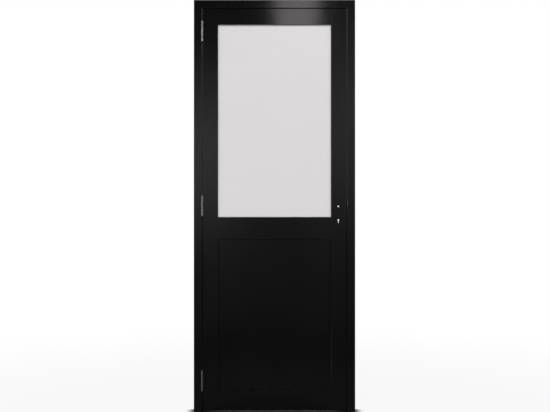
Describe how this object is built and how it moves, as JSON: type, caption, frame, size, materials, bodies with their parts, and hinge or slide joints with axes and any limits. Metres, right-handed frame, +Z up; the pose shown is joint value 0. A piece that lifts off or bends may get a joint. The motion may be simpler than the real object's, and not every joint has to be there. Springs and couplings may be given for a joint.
{
  "type": "glass door with frame",
  "caption": "Black painted hinged door, etched pane over a plain lower panel, hung on lift-off hinges in its frame, with a mortise lock and no handle.",
  "frame": {"origin": "on the floor, at the middle of the frame's width and depth", "axes": "+X to the lock side, +Y away from the side that the leaf opens towards, +Z up"},
  "size_m": [0.819, 0.103, 2.0925],
  "materials": {
    "painted_wood": "satin black paint",
    "hinge_steel": "satin, dulled",
    "blackened_steel": "blackened",
    "lock_lacquer": "black lacquer",
    "zinc_steel": "zinc plated",
    "ring_brass": "turned",
    "black_rubber": "matt",
    "etched_glass": "satin etched"
  },
  "bodies": {
    "frame": {"hinge_jamb": "painted_wood", "lock_jamb": "painted_wood", "frame_head": "painted_wood", "hinge_stop": "painted_wood", "lock_stop": "painted_wood", "head_stop": "painted_wood", "corner_screws": "zinc_steel", "hinge_side_seal": "black_rubber", "lock_side_seal": "black_rubber", "head_seal": "black_rubber", "strike_plate": "blackened_steel", "strike_screws": "blackened_steel", "bottom_hinge_frame_leaf": "hinge_steel", "middle_hinge_frame_leaf": "hinge_steel", "top_hinge_frame_leaf": "hinge_steel", "bottom_hinge_pin": "hinge_steel", "middle_hinge_pin": "hinge_steel", "top_hinge_pin": "hinge_steel", "bottom_hinge_ring": "ring_brass", "middle_hinge_ring": "ring_brass", "top_hinge_ring": "ring_brass", "hinge_frame_screws": "zinc_steel"},
    "leaf": {"hinge_stile": "painted_wood", "lock_stile": "painted_wood", "top_rail": "painted_wood", "lock_rail": "painted_wood", "bottom_rail": "painted_wood", "lower_panel": "painted_wood", "glass_pane": "etched_glass", "front_glazing_tape": "black_rubber", "back_glazing_tape": "black_rubber", "setting_blocks": "black_rubber", "top_bead": "painted_wood", "bottom_bead": "painted_wood", "hinge_side_bead": "painted_wood", "lock_side_bead": "painted_wood", "bottom_hinge_door_leaf": "hinge_steel", "middle_hinge_door_leaf": "hinge_steel", "top_hinge_door_leaf": "hinge_steel", "hinge_door_screws": "zinc_steel", "lock_case": "lock_lacquer", "lock_cover": "lock_lacquer", "lock_cover_screws": "zinc_steel", "lock_faceplate": "blackened_steel", "faceplate_screws": "blackened_steel", "latch_spring": "hinge_steel", "bolt_detent_spring": "hinge_steel"},
    "follower": {"follower": "lock_lacquer"},
    "latch": {"latch_bolt": "zinc_steel"},
    "dead_bolt": {"dead_bolt": "zinc_steel"}
  },
  "joints": [
    {"name": "leaf_swing", "type": "hinge", "parent": "frame", "child": "leaf", "pos_m": [-0.36625, -0.052, 1.0465], "axis": [0, 0, -1], "range_deg": [0, 175]},
    {"name": "follower_turn", "type": "hinge", "parent": "leaf", "child": "follower", "pos_m": [0.325, -0.025, 1.045], "axis": [0, 1, 0], "range_deg": [0, 30]},
    {"name": "latch_slide", "type": "slide", "parent": "leaf", "child": "latch", "axis": [1, 0, 0], "range_m": [0, 0.012], "stiffness_N_per_m": 250, "springref_m": 0.03, "deforming": ["latch_spring"]},
    {"name": "dead_bolt_slide", "type": "slide", "parent": "leaf", "child": "dead_bolt", "axis": [1, 0, 0], "range_m": [0, 0.014], "deforming": ["bolt_detent_spring"]}
  ],
  "couplings": [
    {"joint": "follower_turn", "follows": "latch_slide", "rad_per_m": 43.633}
  ]
}
